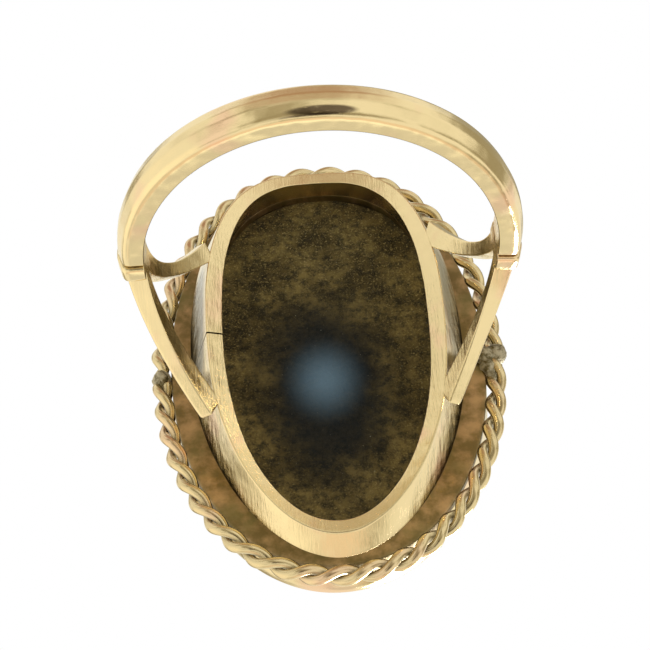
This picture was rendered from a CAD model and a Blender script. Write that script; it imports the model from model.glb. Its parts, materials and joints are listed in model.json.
import json
from math import asin, cos, hypot, pi, radians, sin, sqrt, tau

import bmesh
import bpy
from mathutils import Matrix, Vector, noise


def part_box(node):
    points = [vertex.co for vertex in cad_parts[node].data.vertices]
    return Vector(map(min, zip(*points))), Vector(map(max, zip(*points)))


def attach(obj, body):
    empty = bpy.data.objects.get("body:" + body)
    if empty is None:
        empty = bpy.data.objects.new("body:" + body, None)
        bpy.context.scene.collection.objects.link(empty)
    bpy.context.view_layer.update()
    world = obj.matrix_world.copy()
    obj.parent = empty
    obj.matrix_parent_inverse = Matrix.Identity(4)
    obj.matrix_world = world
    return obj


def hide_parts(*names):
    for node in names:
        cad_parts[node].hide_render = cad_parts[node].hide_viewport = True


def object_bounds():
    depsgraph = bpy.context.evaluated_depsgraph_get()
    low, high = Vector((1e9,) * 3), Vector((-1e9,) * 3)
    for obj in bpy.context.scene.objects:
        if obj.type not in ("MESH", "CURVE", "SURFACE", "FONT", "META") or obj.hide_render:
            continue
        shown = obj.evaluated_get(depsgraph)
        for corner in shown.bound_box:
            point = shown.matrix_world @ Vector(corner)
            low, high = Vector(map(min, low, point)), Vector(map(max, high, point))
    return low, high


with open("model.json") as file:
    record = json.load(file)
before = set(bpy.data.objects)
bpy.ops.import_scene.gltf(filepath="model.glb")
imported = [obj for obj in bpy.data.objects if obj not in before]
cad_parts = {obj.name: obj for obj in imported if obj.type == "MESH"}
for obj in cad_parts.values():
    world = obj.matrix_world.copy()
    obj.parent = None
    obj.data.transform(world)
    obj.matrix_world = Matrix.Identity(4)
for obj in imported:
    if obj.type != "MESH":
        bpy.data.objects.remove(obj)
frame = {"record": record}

# A cocktail ring: polished hoop, forked shoulders, open gallery, tarnished plate, rope edging, agate.
# Lengths are in millimetres until a mesh is made. Y is the finger's axis and +Z points to the stone.
MM = 0.001
cad_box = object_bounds()


def extent(node_name):
    """Half width, half length, underside and top of a CAD node."""
    low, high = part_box(node_name)
    half = (high - low) / 2 / MM
    return half.x, half.y, low.z / MM, high.z / MM


finger_radius = frame["record"]["mounts"][0]["dims"]["r_mm"]
hoop_crown_radius, hoop_half_width, _, _ = extent("shank")
collar_half_width = extent("left_collar")[1]
hoop_end_height = {side: extent(f"{side}_collar")[2] for side in ("left", "right")}
collar_end_height = {side: extent(f"{side}_collar")[3] for side in ("left", "right")}
plate_half_width, plate_half_length, plate_underside, plate_top = extent("base_plate")
bezel_half_width, bezel_half_length, _, bezel_top = extent("bezel_wall")
stone_top = extent("agate_stone")[3]

# Hoop section
hoop_back_half_width = 1.05
hoop_edge_radius = 9.6
hoop_ridge_radius = hoop_crown_radius - 0.01
hoop_ridge_half_width = 0.24
flank_round = 0.3
ridge_round = 0.1
band_rounding = (0.05, flank_round, ridge_round, ridge_round, flank_round, 0.05)
groove_steps = (0.0, 0.1, 0.25, 0.5, 1.0)
hoop_end_groove = (0.14, 0.16)  # depth, and run along the band
collar_end_groove = (0.16, 0.2)
groove_clearance = 0.03  # radians from an end to the first section past its groove

# Arms: parabolas of y against arc length, as offset, slope and spread
arm_outer_radius = 9.775
arm_outer_drop = 0.72
arm_start_angle = radians(80)
arm_flank_angle = radians(61)
arm_root_overrun = 0.8
arm_length = {"left": 5.5, "right": 5.7}
arm_end_slant = 0.6
arm_inner_edge = {"front": (0.15, 0.4, 0.05), "rear": (-0.15, 0.5, 0.05)}
arm_outer_edge = {
    ("left", "front"): (1.1, 0.59, 0.042),
    ("left", "rear"): (1.3, 0.12, 0.12),
    ("right", "front"): (1.0, 0.24, 0.105),
    ("right", "rear"): (1.1, 0.2, 0.12),
}
arm_ease = 0.012  # keeps the arms just clear of the rim's own face
arm_rounding = (0.05, 0.14, 0.18, 0.07)
arm_rounded_share = 0.015  # the share of an arm's length over which its end draws in
arm_end_shares = [0.992, 0.997, 1.0]
arm_end_draw_in = 0.06

# Gallery: an oval at the lowest level and one at the plate, each as half width, half length,
# exponent in front, exponent at the rear and y of its centre
gallery_low = 5.6
gallery_outside = ((5.87, 10.71, 2.6, 2.1, -0.6), (7.05, 12.2, 1.84, 2.6, -0.1))
gallery_inside = ((4.8, 10.13, 2.6, 2.15, -0.6), (6.2, 11.4, 1.9, 2.5, -0.1))
seam_y = 0.5
seam_gap = 0.07
seam_slant = 0.22
gallery_rounding = (0.02, 0.1, 0.06, 0.02)

# Plate, bezel and stone outlines
plate_exponent = 2.12
plate_solder_run = 0.1  # solder widens the plate a little into the rope's hollows
plate_rounding = (0.03, 0.1, 0.1, 0.03)
bezel_exponent = 2.04
bezel_flare = 0.12
bezel_strip = 0.38
bezel_rounding = (0.05, 0.2, 0.12, 0.08, 0.1, 0.02)
lip_height = 0.45
lip_lean = 0.07
stone_clearance = 0.02
stone_shoulder = 13.4
dome_fullness = 0.85
stone_back_relief = 0.05

# Rope
wire_radius = 0.27
strand_offset = 0.275
rope_half_width = 8.58
rope_half_length = 13.03
rope_exponent = 2.11
rope_height = 10.05
rope_turns = 11
rope_joint_y = 0.3
rope_joint_gap = 0.5
strand_start_turn = 0.7
stations_per_turn = 32
rounded_stations = 3
solder_centre = (rope_half_width, rope_joint_y, rope_height)
solder_roughness = 0.1

# Handwork: how far each surface strays, as the width of a swell and its depth
band_waves = (2.5, 0.012)
arm_waves = (1.2, 0.02)
gallery_waves = (2, 0.02)
plate_waves = (1, 0.03)
lip_waves = (1, 0.035)
strand_waves = (1.5, 0.025)
wire_waves = (0.7, 0.012)

# How finely the pieces are divided
hoop_sections = 220
arm_sections = 60
gallery_sections = 360
plate_sections = 240
bezel_sections = 300
stone_sections = 192
rope_path_steps = 4000
wire_facets = 18
solder_rings = 48
solder_facets = 64

# Agate: the middle of the eye and of the dark zone, and how the eye is squeezed
eye_centre = (-0.22, 0.7, 0.0)
eye_shape = (1.1, 0.88, 0)
dark_centre = (-0.2, 0.75, 0.0)

# Studio
ring_middle = (0, 0, 5)
camera_target = (-0.0743, 3.1165, 2.9585)
camera_distance = 125
camera_lens = 142.02
floor_half_width = 400


# ---------------------------------------------------------------- mesh building


def superellipse(half_width, half_length, exponent, t):
    """The plan position at parameter t of a superellipse."""
    power = 2 / exponent
    x = half_width * abs(cos(t)) ** power
    y = half_length * abs(sin(t)) ** power
    return (x if cos(t) > 0 else -x, y if sin(t) > 0 else -y)


def rounded_loop(corners, radii, arc_steps=5, edge_steps=4):
    """Points round a closed polygon of vectors, its corners rounded and its sides divided."""
    count = len(corners)
    loop = []
    for i, corner in enumerate(corners):
        before = corners[i - 1]
        after = corners[(i + 1) % count]
        radius = radii[i]
        start = corner + (before - corner).normalized() * radius
        end = corner + (after - corner).normalized() * radius
        for step in range(arc_steps + 1):
            s = step / arc_steps
            loop.append(start * (1 - s) ** 2 + corner * 2 * s * (1 - s) + end * s**2)
        next_start = after + (corner - after).normalized() * radii[(i + 1) % count]
        for step in range(1, edge_steps):
            s = (1 - cos(pi * step / edge_steps)) / 2
            loop.append(end.lerp(next_start, s))
    return loop


def make_piece(name, rows, material, joined=False, capped=True, sharp=40, mirrored=True):
    """A mesh through closed rows of points, riding on the ring and standing for its CAD node.

    A piece that isn't mirrored is left out of its neighbours' reflections.
    """
    mesh_edit = bmesh.new()
    grid = [[mesh_edit.verts.new(point * MM) for point in row] for row in rows]
    pairs = list(zip(grid, grid[1:]))
    if joined:
        pairs.append((grid[-1], grid[0]))
    for first, second in pairs:
        for i in range(len(first)):
            j = (i + 1) % len(first)
            mesh_edit.faces.new((first[i], first[j], second[j], second[i]))
    if capped and not joined:
        mesh_edit.faces.new(grid[0])
        mesh_edit.faces.new(grid[-1])
    bmesh.ops.recalc_face_normals(mesh_edit, faces=mesh_edit.faces)
    mesh = bpy.data.meshes.new(name)
    mesh_edit.to_mesh(mesh)
    mesh_edit.free()
    mesh.shade_smooth()
    mesh.set_sharp_from_angle(angle=radians(sharp))
    mesh.materials.append(material)
    piece = bpy.data.objects.new(name, mesh)
    piece.visible_glossy = mirrored
    bpy.context.scene.collection.objects.link(piece)
    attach(piece, "root")
    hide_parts(name.removesuffix("_visual"))
    return piece


def spaced(first, last, count):
    """Evenly spaced values from first to last."""
    return [first + (last - first) * i / (count - 1) for i in range(count)]


def unevenness(point, size, depth):
    """A smooth random distance that varies over about size millimetres."""
    return depth * noise.noise(point / size)


# ---------------------------------------------------------------- hoop and collars


def band_row(angle, half_width, proud, inset):
    """One cross-section of the hoop or a collar, at an angle about the finger from -Z towards +X."""
    out = Vector((sin(angle), 0, -cos(angle)))
    side = Vector((0, 1, 0))
    half = half_width - inset
    edge = hoop_edge_radius + proud - inset
    ridge = hoop_ridge_radius + proud - inset
    inside = finger_radius + inset / 3
    corners = [
        out * inside + side * half,
        out * edge + side * half,
        out * ridge + side * hoop_ridge_half_width,
        out * ridge - side * hoop_ridge_half_width,
        out * edge - side * half,
        out * inside - side * half,
    ]
    row = rounded_loop(corners, band_rounding)
    return [p + out * unevenness(p, *band_waves) for p in row]


def end_insets(groove, run):
    """How far a section draws in at steps of distance from an end, which makes a rounded groove."""
    return [(run * s, groove * (1 - sqrt(1 - (1 - s) ** 2))) for s in groove_steps]


def angle_at(height):
    """The angle about the finger, from -Z, at which its cylinder reaches a height."""
    return pi / 2 + asin(height / finger_radius)


def make_hoop(material):
    """The hoop, widening a little from the back to the shoulders."""
    first = -angle_at(hoop_end_height["left"])
    last = angle_at(hoop_end_height["right"])
    grooves = end_insets(*hoop_end_groove)
    stations = [(first + along / finger_radius, inset) for along, inset in grooves]
    plain = spaced(first + groove_clearance, last - groove_clearance, hoop_sections)
    stations += [(angle, 0) for angle in plain]
    stations += [(last - along / finger_radius, inset) for along, inset in reversed(grooves)]
    rows = []
    for angle, inset in stations:
        share = (1 - cos(angle)) / 2
        half = hoop_back_half_width + (hoop_half_width - hoop_back_half_width) * share
        rows.append(band_row(angle, half, 0, inset))
    make_piece("shank_visual", rows, material)


def make_collar(side, material):
    """The short band that joins one end of the hoop to its two arms."""
    proud = collar_half_width - hoop_half_width
    first = angle_at(hoop_end_height[side])
    last = angle_at(collar_end_height[side])
    grooves = end_insets(*collar_end_groove)
    stations = [(first + along / finger_radius, inset) for along, inset in grooves]
    stations += [(last - along / finger_radius, inset) for along, inset in reversed(grooves)]
    turn = 1 if side == "right" else -1
    rows = [band_row(turn * angle, collar_half_width, proud, inset) for angle, inset in stations]
    make_piece(f"{side}_collar_visual", rows, material)


# ---------------------------------------------------------------- shoulders


def arm_point(shape, arc, radius, drop=0.0):
    """A point above an arm's edge on a cylinder whose axis is a drop below the finger's."""
    offset, slope, spread = shape
    across = finger_radius * sin(arm_start_angle - arm_flank_angle - arc / finger_radius)
    y = offset + slope * arc + spread * arc**2
    along_sketch = Vector((cos(arm_flank_angle), 0, -sin(arm_flank_angle)))
    up = Vector((sin(arm_flank_angle), 0, cos(arm_flank_angle)))
    off_axis = across - drop * sin(arm_flank_angle)
    rise = sqrt(radius**2 - off_axis**2) - drop * cos(arm_flank_angle)
    return along_sketch * across + up * rise + Vector((0, y, 0))


def make_arm(side, end, material):
    """One arm of a forked shoulder, from inside the collar to inside the gallery's wall."""
    inside = finger_radius + arm_ease
    mirror = Vector((1 if side == "right" else -1, 1 if end == "front" else -1, 1))
    outer_run = arm_length[side] + arm_root_overrun
    inner_run = outer_run + arm_end_slant
    straight_share = 1 - arm_rounded_share
    rows = []
    for share in spaced(0, straight_share, arm_sections) + arm_end_shares:
        outer_arc = -arm_root_overrun + outer_run * share
        inner_arc = -arm_root_overrun + inner_run * share
        corners = [
            arm_point(arm_inner_edge[end], inner_arc, inside),
            arm_point(arm_inner_edge[end], inner_arc, arm_outer_radius, arm_outer_drop),
            arm_point(arm_outer_edge[side, end], outer_arc, arm_outer_radius, arm_outer_drop),
            arm_point(arm_outer_edge[side, end], outer_arc, inside),
        ]
        middle = sum(corners, Vector()) / len(corners)
        draw_in = arm_end_draw_in * max(0, (share - straight_share) / arm_rounded_share) ** 2
        corners = [c.lerp(middle, draw_in) for c in corners]
        row = rounded_loop(corners, arm_rounding)
        rows.append([(p + Vector((0, unevenness(p, *arm_waves), 0))) * mirror for p in row])
    make_piece(f"{side}_{end}_arm_visual", rows, material)


# ---------------------------------------------------------------- gallery


def gallery_oval(shape, t):
    """A plan position on one of the gallery's ovals."""
    half_width, half_length, front_exponent, rear_exponent, centre_y = shape
    exponent = front_exponent if sin(t) > 0 else rear_exponent
    x, y = superellipse(half_width, half_length, exponent, t)
    return Vector((x, centre_y + y, 0))


def gallery_point(ovals, t, height):
    """A point on one side of the gallery's wall, at a parameter round it and at a height."""
    ends = [gallery_oval(shape, t) for shape in ovals]
    share = (height - gallery_low) / (plate_underside - gallery_low)
    return ends[0].lerp(ends[1], share) + Vector((0, 0, height))


def rim_height(ovals, t):
    """The height at which a side of the gallery's wall meets the finger's cylinder."""
    low, high = gallery_low, plate_underside
    for _ in range(30):
        middle = (low + high) / 2
        point = gallery_point(ovals, t, middle)
        if hypot(point.x, point.z) < finger_radius:
            low = middle
        else:
            high = middle
    return low


def gallery_row(t, open_side):
    """One cross-section of the gallery's wall; open_side draws the rim back from the seam."""
    half_length = gallery_outside[0][1]
    opened = t + open_side * seam_gap / 2 / half_length
    slanted = seam_slant / half_length
    corners = [
        gallery_point(gallery_outside, t, plate_underside),
        gallery_point(gallery_outside, opened, rim_height(gallery_outside, opened)),
        gallery_point(gallery_inside, opened + slanted, rim_height(gallery_inside, opened + slanted)),
        gallery_point(gallery_inside, t + slanted, plate_underside),
    ]
    row = rounded_loop(corners, gallery_rounding, arc_steps=6, edge_steps=8)
    return [
        p + Vector((unevenness(p, *gallery_waves), unevenness(p + p, *gallery_waves), 0)) for p in row
    ]


def make_gallery(material):
    """The gallery's wall: a strip bent round, whose ends meet at a fine open seam."""
    _, half_length, exponent, _, centre_y = gallery_outside[0]
    seam_t = pi - asin(((seam_y - centre_y) / half_length) ** (exponent / 2))
    rows = [gallery_row(seam_t, 1)]
    for i in range(1, gallery_sections):
        rows.append(gallery_row(seam_t + tau * i / gallery_sections, 0))
    rows.append(gallery_row(seam_t + tau, -1))
    make_piece("gallery_wall_visual", rows, material)


# ---------------------------------------------------------------- plate, bezel and stone


def oval_rows(count, section):
    """Cross-sections round an oval; section gives a row's corners, radii and edge steps at t."""
    return [rounded_loop(*section(tau * i / count)) for i in range(count)]


def oval_point(half_width, half_length, exponent, t, height):
    """A point at a height on a superellipse centred on the finger hole."""
    x, y = superellipse(half_width, half_length, exponent, t)
    return Vector((x, y, height))


def make_plate(material):
    """The flat plate under the stone, open inside the gallery."""

    def section(t):
        wave = plate_solder_run + unevenness(Vector((3 * cos(t), 3 * sin(t), 0)), *plate_waves)
        outer = (plate_half_width + wave, plate_half_length + wave, plate_exponent, t)
        hole = gallery_oval(gallery_inside[1], t)
        corners = [
            hole + Vector((0, 0, plate_underside)),
            oval_point(*outer, plate_underside),
            oval_point(*outer, plate_top),
            hole + Vector((0, 0, plate_top)),
        ]
        return corners, plate_rounding, 5, 6

    rows = oval_rows(plate_sections, section)
    make_piece("base_plate_visual", rows, material, joined=True, mirrored=False)


def bezel_point(t, height, inset):
    """A point on the bezel's oval, which grows up to the lip, at an inset from its outside."""
    shrink = bezel_flare * max(0, bezel_top - lip_height - height) + inset
    return oval_point(bezel_half_width - shrink, bezel_half_length - shrink, bezel_exponent, t, height)


def make_bezel(material):
    """The strip round the stone, its top pressed over the stone."""

    def section(t):
        lip = bezel_top + unevenness(Vector((4 * cos(t), 4 * sin(t), 1)), *lip_waves)
        corners = [
            bezel_point(t, plate_top, 0),
            bezel_point(t, lip - lip_height, 0),
            bezel_point(t, lip, lip_lean),
            bezel_point(t, lip, bezel_strip + lip_lean),
            bezel_point(t, lip - lip_height, bezel_strip),
            bezel_point(t, plate_top, bezel_strip),
        ]
        return corners, bezel_rounding, 5, 4

    rows = oval_rows(bezel_sections, section)
    make_piece("bezel_wall_visual", rows, material, joined=True)


def stone_profile(girdle):
    """Half the stone's section, from the middle of its back to its top.

    Each point is a share of the girdle's half width and a height.
    """
    lip_start = bezel_top - lip_height
    back_share = 1 - bezel_flare * (lip_start - plate_top) / girdle
    slope = lip_lean / lip_height
    dome_height = (stone_top - stone_shoulder) / (1 - sqrt(1 - dome_fullness**2))
    profile = [(back_share * s, plate_top) for s in spaced(0.0, 1.0, 60)[1:]]
    for s in spaced(0, 1, 6)[1:]:
        profile.append((back_share + (1 - back_share) * s, plate_top + (lip_start - plate_top) * s))
    for rise in spaced(0, stone_shoulder - lip_start, 6)[1:]:
        profile.append((1 - slope * rise / girdle, lip_start + rise))
    for s in spaced(profile[-1][0], 0, 50)[1:-1]:
        profile.append((s, stone_top - dome_height * (1 - sqrt(1 - (dome_fullness * s) ** 2))))
    return profile


def make_stone(material):
    """The agate: a rough flat back, straight sides and a polished low dome."""
    girdle = bezel_half_width - bezel_strip - stone_clearance
    girdle_length = bezel_half_length - bezel_strip - stone_clearance
    rows = []
    for s, height in stone_profile(girdle):
        row = []
        for i in range(stone_sections):
            t = tau * i / stone_sections
            point = oval_point(s * girdle, s * girdle_length, bezel_exponent, t, height)
            if height == plate_top:
                rough = noise.fractal(point * 2.2, 1.0, 2.0, 4)
                point.z -= stone_back_relief + stone_back_relief * rough * min(1, 6 * (1 - s))
            row.append(point)
        rows.append(row)
    make_piece("agate_stone_visual", rows, material, sharp=50)


# ---------------------------------------------------------------- rope and solder


def rope_axis(end, count):
    """Evenly spaced points along one length of rope, counter-clockwise seen from the stone."""
    facing = 1 if end == "front" else -1
    joint_y = facing * rope_joint_y + rope_joint_gap / 2
    first = asin((abs(joint_y) / rope_half_length) ** (rope_exponent / 2))
    if joint_y < 0:
        first = -first
    path = []
    for t in spaced(first, pi - first, rope_path_steps):
        x, y = superellipse(rope_half_width, rope_half_length, rope_exponent, t)
        path.append(Vector((facing * x, facing * y, rope_height)))
    travelled = [0.0]
    for a, b in zip(path, path[1:]):
        travelled.append(travelled[-1] + (b - a).length)
    points = []
    nearest = 0
    for target in spaced(0, travelled[-1], count + 1):
        while travelled[nearest] < target and nearest < len(path) - 1:
            nearest += 1
        points.append(path[nearest])
    return points


def neighbours(points, i):
    """The points before and after one, or the point itself at an end of the list."""
    return points[max(i - 1, 0)], points[min(i + 1, len(points) - 1)]


def make_strand(end, letter, phase, material):
    """One wire of a length of rope, wound left-handed, with rounded ends."""
    count = rope_turns * stations_per_turn
    axis = rope_axis(end, count)
    centres = []
    radials = []
    for i, point in enumerate(axis):
        before, after = neighbours(axis, i)
        heading = (after - before).normalized()
        outward = Vector((heading.y, -heading.x, 0))
        wobble = 0.25 * noise.noise(point / 3)
        turn = phase + tau * i / stations_per_turn + wobble
        radial = outward * cos(turn) + Vector((0, 0, sin(turn)))
        radials.append(radial)
        slack = unevenness(point, *strand_waves)
        centres.append(point + radial * (strand_offset + slack))
    rows = []
    for i, (centre, radial) in enumerate(zip(centres, radials)):
        before, after = neighbours(centres, i)
        heading = (after - before).normalized()
        across = heading.cross(radial).normalized()
        level = across.cross(heading)
        from_end = min(i, count - i)
        fullness = min(1, (from_end + 0.5) / rounded_stations)
        radius = wire_radius * sqrt(1 - (1 - fullness) ** 2)
        radius += unevenness(centre, *wire_waves)
        row = []
        for a in spaced(0, tau, wire_facets + 1)[:-1]:
            row.append(centre + (level * cos(a) + across * sin(a)) * radius)
        rows.append(row)
    name = f"{end}_rope_strand_{letter}_visual"
    make_piece(name, rows, material, sharp=60, mirrored=False)


def lumps_reach(lumps, ray):
    """How far a ray from the middle runs before it leaves the last lump."""
    reach = 0.0
    for place, size in lumps:
        along = ray.dot(place)
        off = place.length_squared - along**2
        if off < size**2:
            reach = max(reach, along + sqrt(size**2 - off))
    return reach


def make_solder(side, lumps, material):
    """The lumpy solder at a rope joint: a blob whose radius swells over several lumps."""
    mirror = Vector((1 if side == "right" else -1, 1, 1))
    centre = Vector(solder_centre)
    rows = []
    for latitude in spaced(-pi / 2, pi / 2, solder_rings)[1:-1]:
        row = []
        for longitude in spaced(0, tau, solder_facets + 1)[:-1]:
            ray = Vector((cos(latitude) * cos(longitude), cos(latitude) * sin(longitude), sin(latitude)))
            reach = lumps_reach(lumps, ray)
            reach += noise.fractal((centre + ray * reach) * 3, 1.0, 2.0, 4) * solder_roughness
            row.append((centre + ray * reach) * mirror)
        rows.append(row)
    make_piece(f"{side}_rope_solder_visual", rows, material, sharp=80)


# ---------------------------------------------------------------- shader nodes


def node(tree, kind, inputs=None, **settings):
    """Adds a shader node; an input may be a value or another node's output."""
    made = tree.nodes.new(kind)
    for name, value in settings.items():
        setattr(made, name, value)
    for key, value in (inputs or {}).items():
        if isinstance(value, bpy.types.NodeSocket):
            tree.links.new(value, made.inputs[key])
        else:
            made.inputs[key].default_value = value
    return made


def calc(tree, operation, a, b=0.0, c=0.0):
    """A sum on single numbers."""
    return node(tree, "ShaderNodeMath", {0: a, 1: b, 2: c}, operation=operation).outputs[0]


def vector_calc(tree, operation, *vectors):
    """A sum on vectors, which gives a number for a length, a distance or a dot product."""
    made = node(tree, "ShaderNodeVectorMath", dict(enumerate(vectors)), operation=operation)
    gives_number = operation in ("LENGTH", "DISTANCE", "DOT_PRODUCT")
    return made.outputs[1 if gives_number else 0]


def mix(tree, share, a, b, blend="MIX"):
    """Colour a turning into colour b, or blended with it in another way."""
    made = node(tree, "ShaderNodeMix", {0: share, 6: a, 7: b}, data_type="RGBA", blend_type=blend)
    return made.outputs[2]


def rgb(r, g, b):
    """A solid colour, in linear light."""
    return (r, g, b, 1.0)


def step_up(tree, value, low, high, out_low=0.0, out_high=1.0):
    """A smooth step of a value from low to high."""
    made = node(
        tree,
        "ShaderNodeMapRange",
        {0: value, 1: low, 2: high, 3: out_low, 4: out_high},
        interpolation_type="SMOOTHSTEP",
    )
    return made.outputs[0]


def place_mm(tree, stretch=(1, 1, 1)):
    """The place on the object in millimetres, times a stretch per axis."""
    coords = node(tree, "ShaderNodeTexCoord").outputs["Object"]
    scale = [s / MM for s in stretch]
    return node(tree, "ShaderNodeMapping", {"Vector": coords, "Scale": scale}).outputs[0]


def grain(tree, place, scale, detail=2.0, roughness=0.5, distortion=0.0):
    """Noise of about one swing per 1/scale millimetres."""
    inputs = {
        "Vector": place,
        "Scale": scale,
        "Detail": detail,
        "Roughness": roughness,
        "Distortion": distortion,
    }
    return node(tree, "ShaderNodeTexNoise", inputs).outputs[0]


def bump(tree, height, distance_mm, strength=1.0, normal=None):
    """Surface relief from a height, on top of any relief in normal."""
    inputs = {"Height": height, "Distance": distance_mm * MM, "Strength": strength}
    if normal is not None:
        inputs["Normal"] = normal
    return node(tree, "ShaderNodeBump", inputs).outputs[0]


def openness(tree, distance_mm):
    """1 on an open surface, falling towards 0 in corners within a distance."""
    inputs = {"Distance": distance_mm * MM}
    return node(tree, "ShaderNodeAmbientOcclusion", inputs, samples=6).outputs["AO"]


def new_material(name):
    """An empty node material; returns it with its tree."""
    material = bpy.data.materials.new(name)
    material.use_nodes = True
    material.node_tree.nodes.clear()
    return material, material.node_tree


def finish_material(tree, **inputs):
    """Ends a material with one principled shader."""
    shader = node(tree, "ShaderNodeBsdfPrincipled", {k.replace("_", " "): v for k, v in inputs.items()})
    output = node(tree, "ShaderNodeOutputMaterial")
    tree.links.new(shader.outputs[0], output.inputs["Surface"])


# ---------------------------------------------------------------- materials


def soft_spot(tree, place, centre, half_size, edge=0.35):
    """1 inside an ellipsoid, falling softly to 0 at its surface."""
    offset = vector_calc(tree, "SUBTRACT", place, centre)
    away = vector_calc(tree, "LENGTH", vector_calc(tree, "DIVIDE", offset, half_size))
    return step_up(tree, away, 1 - edge, 1.0, 1.0, 0.0)


def gold_material(
    name, roughness=0.16, scratch_stretch=(1, 1, 1), grime=0.5, file_marks=0.0, stains=(), tone=1.0
):
    """Polished 9 ct gold with soft waves, fine scratches and brown tarnish in its corners.

    A stain is a centre, a half size, a depth from 0 to 1 and a colour.
    """
    material, tree = new_material(name)
    place = place_mm(tree)
    clean = rgb(0.88, 0.72, 0.42)
    warm = rgb(0.90, 0.64, 0.42)
    tint = step_up(tree, grain(tree, place, 0.35, 2), 0.52, 0.72)
    colour = mix(tree, tint, clean, warm)
    dirt = step_up(tree, openness(tree, 0.5), 0.3, 0.88, grime, 0.0)
    patchy = step_up(tree, grain(tree, place, 2.5, 3), 0.3, 0.65, 0.6 * grime, 1.0)
    colour = mix(tree, calc(tree, "MULTIPLY", dirt, patchy), colour, rgb(0.12, 0.085, 0.03))
    colour = mix(tree, 1.0, colour, rgb(tone, tone, tone), "MULTIPLY")
    for centre, half_size, depth, stain_colour in stains:
        ragged = step_up(tree, grain(tree, place_mm(tree, (1, 4, 4)), 1.4, 4, 0.6), 0.15, 0.45)
        spot = calc(tree, "MULTIPLY", soft_spot(tree, place, centre, half_size), ragged)
        colour = mix(tree, calc(tree, "MULTIPLY", spot, depth), colour, stain_colour)
    polish = step_up(tree, grain(tree, place, 1.6, 4, 0.6), 0.3, 0.75, roughness * 0.7, roughness * 1.5)
    scratched = grain(tree, place_mm(tree, scratch_stretch), 18, 2, 0.6)
    waves = bump(tree, grain(tree, place, 0.9, 1), 0.05)
    lines = bump(tree, scratched, 0.0025, 1.0, waves)
    if file_marks:
        marks = grain(tree, place_mm(tree, (9, 0.7, 0.7)), 1.0, 3, 0.7)
        lines = bump(tree, marks, 0.03, file_marks, lines)
    finish_material(tree, Base_Color=colour, Metallic=1.0, Roughness=polish, Normal=lines)
    return material


def tarnished_material():
    """The plate: satin gold gone brown, blotched pink and olive, brighter at its rubbed edge."""
    material, tree = new_material("tarnished_gold")
    place = place_mm(tree)
    blotch = grain(tree, place, 0.9, 4, 0.6)
    colour = mix(tree, step_up(tree, blotch, 0.35, 0.7), rgb(0.24, 0.175, 0.07), rgb(0.58, 0.39, 0.20))
    olive = step_up(tree, grain(tree, place, 0.5, 3), 0.5, 0.7)
    colour = mix(tree, calc(tree, "MULTIPLY", olive, 0.7), colour, rgb(0.25, 0.215, 0.085))
    dirt = step_up(tree, openness(tree, 1.2), 0.2, 0.9, 0.6, 0.0)
    colour = mix(tree, dirt, colour, rgb(0.06, 0.045, 0.015))
    roughness = step_up(tree, grain(tree, place, 3, 3), 0.3, 0.7, 0.3, 0.5)
    pits = bump(tree, grain(tree, place, 9, 4, 0.65), 0.01)
    finish_material(tree, Base_Color=colour, Metallic=0.9, Roughness=roughness, Normal=pits)
    return material


def solder_material():
    """Dull grey solder with white bloom."""
    material, tree = new_material("solder")
    place = place_mm(tree)
    bloom = step_up(tree, grain(tree, place, 2.6, 5, 0.7), 0.4, 0.6)
    colour = mix(tree, bloom, rgb(0.17, 0.14, 0.07), rgb(0.58, 0.52, 0.38))
    pits = bump(tree, grain(tree, place, 7, 5, 0.7), 0.06)
    roughness = step_up(tree, bloom, 0, 1, 0.35, 0.7)
    metallic = step_up(tree, bloom, 0, 1, 0.9, 0.4)
    finish_material(tree, Base_Color=colour, Metallic=metallic, Roughness=roughness, Normal=pits)
    return material


def agate_back(tree, place, flat, from_eye):
    """The rough back: brown speckles, a blue-black zone and a pale blue eye in it."""
    speckle = step_up(tree, grain(tree, place, 2.0, 7, 0.75), 0.36, 0.62)
    colour = mix(tree, speckle, rgb(0.030, 0.026, 0.012), rgb(0.155, 0.118, 0.042))
    shade = step_up(tree, grain(tree, place, 0.45, 2), 0.35, 0.62, 0.55, 1.5)
    colour = mix(tree, 1.0, colour, shade, "MULTIPLY")
    fleck = step_up(tree, grain(tree, place, 9, 4, 0.75), 0.54, 0.66)
    toward_edge = step_up(tree, from_eye, 2.6, 6.5, 0.25, 0.95)
    colour = mix(tree, calc(tree, "MULTIPLY", fleck, toward_edge), colour, rgb(0.42, 0.33, 0.14))
    dark = step_up(tree, vector_calc(tree, "DISTANCE", flat, dark_centre), 1.7, 4.5, 1.0, 0.0)
    colour = mix(tree, calc(tree, "MULTIPLY", dark, 0.93), colour, rgb(0.006, 0.010, 0.014))
    squeezed = vector_calc(tree, "MULTIPLY", place, eye_shape)
    eye = step_up(tree, vector_calc(tree, "DISTANCE", squeezed, eye_centre), 0.0, 2.9, 1.0, 0.0)
    colour = mix(tree, calc(tree, "POWER", eye, 1.3), colour, rgb(0.15, 0.26, 0.40))
    glint = step_up(tree, grain(tree, place, 11, 1), 0.77, 0.81)
    return mix(tree, calc(tree, "MULTIPLY", glint, 0.6), colour, rgb(0.5, 0.5, 0.42))


def agate_front(tree, place, shifted, from_eye):
    """The polished front: near black, with soft grey bands round a paler blue middle."""
    inputs = {"Vector": shifted, "Scale": 0.3, "Distortion": 1.2, "Detail": 1.5, "Detail Scale": 0.4}
    wave = node(tree, "ShaderNodeTexWave", inputs, wave_type="RINGS", rings_direction="Z")
    band_strength = step_up(tree, grain(tree, place, 0.45, 2), 0.35, 0.65, 0.25, 1.0)
    band = calc(tree, "MULTIPLY", step_up(tree, wave.outputs[1], 0.35, 1.0), band_strength)
    colour = mix(tree, band, rgb(0.012, 0.014, 0.016), rgb(0.085, 0.08, 0.072))
    middle = step_up(tree, from_eye, 0.8, 3.2, 1.0, 0.0)
    return mix(tree, middle, colour, rgb(0.10, 0.16, 0.205))


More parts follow.
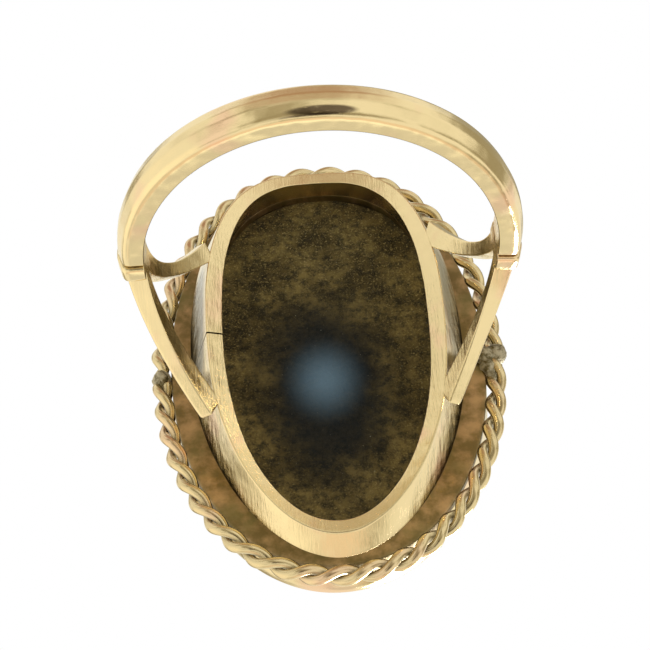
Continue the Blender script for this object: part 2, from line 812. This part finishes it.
def agate_material():
    """Dark agate, rough and speckled behind and polished in front."""
    material, tree = new_material("agate")
    place = place_mm(tree)
    swirl = {"Vector": place, "Scale": 0.5, "Detail": 1.0}
    swirled = node(tree, "ShaderNodeTexNoise", swirl).outputs[1]
    warp = vector_calc(tree, "SUBTRACT", swirled, (0.5, 0.5, 0.5))
    shifted = vector_calc(tree, "MULTIPLY_ADD", warp, (1.6, 1.6, 0.0), place)
    flat = vector_calc(tree, "MULTIPLY", shifted, (1, 0.6, 0))
    from_eye = vector_calc(tree, "DISTANCE", flat, eye_centre)
    height = node(tree, "ShaderNodeSeparateXYZ", {0: place}).outputs[2]
    is_front = step_up(tree, height, plate_top + 0.2, plate_top + 0.6)
    back = agate_back(tree, place, flat, from_eye)
    colour = mix(tree, is_front, back, agate_front(tree, place, shifted, from_eye))
    rough_back = step_up(tree, grain(tree, place, 5, 3), 0.3, 0.7, 0.45, 0.75)
    roughness = calc(tree, "MULTIPLY_ADD", is_front, -0.55, rough_back)
    is_back = calc(tree, "SUBTRACT", 1.0, is_front)
    relief = calc(tree, "MULTIPLY", grain(tree, place, 6, 5, 0.7), is_back)
    finish_material(
        tree,
        Base_Color=colour,
        Roughness=calc(tree, "MAXIMUM", roughness, 0.07),
        Normal=bump(tree, relief, 0.08),
        IOR=1.54,
        Specular_IOR_Level=step_up(tree, is_front, 0, 1, 0.16, 0.5),
    )
    return material


def floor_material():
    """A pale floor that is clear from below."""
    material, tree = new_material("floor")
    from_below = node(tree, "ShaderNodeNewGeometry").outputs["Backfacing"]
    pale = node(tree, "ShaderNodeBsdfDiffuse", {"Color": rgb(0.9, 0.9, 0.89)})
    clear = node(tree, "ShaderNodeBsdfTransparent")
    choice = node(tree, "ShaderNodeMixShader", {0: from_below, 1: pale.outputs[0], 2: clear.outputs[0]})
    output = node(tree, "ShaderNodeOutputMaterial")
    tree.links.new(choice.outputs[0], output.inputs["Surface"])
    return material


# ---------------------------------------------------------------- studio


def lobe(tree, direction, aim, inner, outer):
    """1 within an angle of a direction, falling to 0 at a wider angle."""
    along = vector_calc(tree, "DOT_PRODUCT", direction, Vector(aim).normalized())
    return step_up(tree, along, cos(radians(outer)), cos(radians(inner)))


def make_studio(camera_side):
    """A bright room of soft panels, plain white where the camera looks past the ring."""
    world = bpy.data.worlds.new("studio")
    world.use_nodes = True
    bpy.context.scene.world = world
    tree = world.node_tree
    tree.nodes.clear()
    direction = node(tree, "ShaderNodeTexCoord").outputs["Generated"]
    unlit = step_up(tree, grain(tree, direction, 1.7, 1), 0.46, 0.62)
    room = mix(tree, unlit, rgb(1.05, 1.02, 0.9), rgb(0.42, 0.38, 0.27))
    patches = [
        ((0, -0.9, -0.44), 12, 34, rgb(0.5, 0.34, 0.24)),
        ((0, 0.93, 0.36), 10, 35, rgb(1.05, 0.86, 0.70)),
        ((0, 0.63, 0.78), 6, 15, rgb(0.80, 0.78, 0.70)),
        ((0, 0.82, 0.57), 4, 12, rgb(1.35, 1.34, 1.15)),
        ((-0.9, 0.3, 0.2), 15, 45, rgb(1.3, 1.22, 1.02)),
        (camera_side, 9, 20, rgb(0.12, 0.1, 0.08)),
    ]
    for aim, inner, outer, colour in patches:
        room = mix(tree, lobe(tree, direction, aim, inner, outer), room, colour)
    light = node(tree, "ShaderNodeBackground", {"Color": room, "Strength": 0.95})
    white = node(tree, "ShaderNodeBackground", {"Color": rgb(1, 1, 1), "Strength": 1.0})
    seen = node(tree, "ShaderNodeLightPath").outputs["Is Camera Ray"]
    choice = node(tree, "ShaderNodeMixShader", {0: seen, 1: light.outputs[0], 2: white.outputs[0]})
    output = node(tree, "ShaderNodeOutputWorld")
    tree.links.new(choice.outputs[0], output.inputs["Surface"])


def make_floor():
    """The floor that the hoop stands on, seen from above only."""
    half = floor_half_width * MM
    height = cad_box[0][2]
    mesh = bpy.data.meshes.new("floor")
    corners = [(-half, -half, height), (half, -half, height), (half, half, height), (-half, half, height)]
    mesh.from_pydata(corners, [], [(0, 1, 2, 3)])
    mesh.materials.append(floor_material())
    floor = bpy.data.objects.new("floor", mesh)
    bpy.context.scene.collection.objects.link(floor)
    floor.visible_diffuse = False
    floor.visible_glossy = False
    floor.visible_transmission = False
    floor.visible_shadow = False


def make_lamp(name, place, target, size, power, mirrored=True):
    """A square soft light; one that isn't mirrored lights the floor and stone but not the metal."""
    data = bpy.data.lights.new(name, "AREA")
    data.size = size * MM
    data.energy = power
    lamp = bpy.data.objects.new(name, data)
    lamp.location = Vector(place) * MM
    lamp.rotation_euler = (Vector(target) - Vector(place)).to_track_quat("-Z", "Y").to_euler()
    lamp.visible_glossy = mirrored
    bpy.context.scene.collection.objects.link(lamp)


def make_camera():
    """The camera under the front of the ring, looking up at the back of its setting."""
    azimuth = radians(180.807)
    elevation = radians(-51.151)
    roll = radians(176.697)
    back = Vector((sin(azimuth) * cos(elevation), -cos(azimuth) * cos(elevation), sin(elevation)))
    level = Vector((0, 0, 1)).cross(back).normalized()
    upward = back.cross(level)
    right = level * cos(roll) + upward * sin(roll)
    up = upward * cos(roll) - level * sin(roll)
    target = Vector(camera_target) * MM
    data = bpy.data.cameras.new("camera")
    data.sensor_width = 36
    data.lens = camera_lens
    data.clip_start = 0.001
    camera = bpy.data.objects.new("camera", data)
    bpy.context.scene.collection.objects.link(camera)
    turn = Matrix((right, up, back)).transposed().to_4x4()
    camera.matrix_world = Matrix.Translation(target + back * camera_distance * MM) @ turn
    bpy.context.scene.camera = camera
    return back


# ---------------------------------------------------------------- the ring


def polished_gold():
    """The hoop's, collars' and bezel's gold, with a dark worn patch on the hoop's back."""
    crown_stain = ((0.8, 0.75, -9.75), (2.7, 0.3, 0.35), 0.92, rgb(0.10, 0.065, 0.04))
    return gold_material("polished_gold", 0.12, (1, 6, 1), grime=0.8, stains=[crown_stain])


def strip_gold():
    """The gallery's gold, filed on its rim and tarnished down both long sides."""
    side_stains = [
        ((-7.0, -2.2, 7.9), (1.3, 6.6, 2.8), 0.95, rgb(0.12, 0.10, 0.055)),
        ((7.0, -2.2, 7.9), (1.3, 6.6, 2.8), 0.85, rgb(0.30, 0.26, 0.15)),
    ]
    return gold_material("strip_gold", 0.16, (6, 1, 1), grime=0.45, file_marks=0.8, stains=side_stains)


def make_shoulders_and_rope(filed, wire):
    """The four arms and the rope's four wires."""
    for end in ("front", "rear"):
        make_strand(end, "a", strand_start_turn, wire)
        make_strand(end, "b", strand_start_turn + pi, wire)
        for side in ("left", "right"):
            make_arm(side, end, filed)


def make_rope_solder(solder):
    """The two soldered rope joints, the right one a bigger mass of lumps."""
    left_lumps = [
        (Vector((0, 0, 0)), 0.5),
        (Vector((0.1, 0.3, 0.1)), 0.35),
    ]
    right_lumps = [
        (Vector((0.1, -0.05, -0.15)), 0.55),
        (Vector((-0.5, 0.15, -0.3)), 0.5),
        (Vector((-0.4, 0.75, -0.25)), 0.42),
        (Vector((-0.2, 1.3, -0.1)), 0.32),
    ]
    make_solder("left", left_lumps, solder)
    make_solder("right", right_lumps, solder)


def make_ring():
    """Every visible piece of the ring."""
    polished = polished_gold()
    filed = gold_material("filed_gold", 0.16, (6, 1, 1), grime=0.5, file_marks=0.5)
    strip = strip_gold()
    wire = gold_material("wire_gold", 0.22, grime=1.0, tone=0.86)
    solder = solder_material()
    make_hoop(polished)
    make_gallery(strip)
    make_plate(tarnished_material())
    make_bezel(polished)
    make_stone(agate_material())
    make_shoulders_and_rope(filed, wire)
    for side in ("left", "right"):
        make_collar(side, polished)
    make_rope_solder(solder)


make_ring()
camera_side = make_camera()
make_studio(camera_side)
make_floor()
make_lamp("key", place=(60, 50, 120), target=ring_middle, size=60, power=0.25)
make_lamp("fill", place=(-90, -60, 70), target=ring_middle, size=80, power=0.12, mirrored=False)
bpy.context.scene.view_settings.view_transform = "Standard"
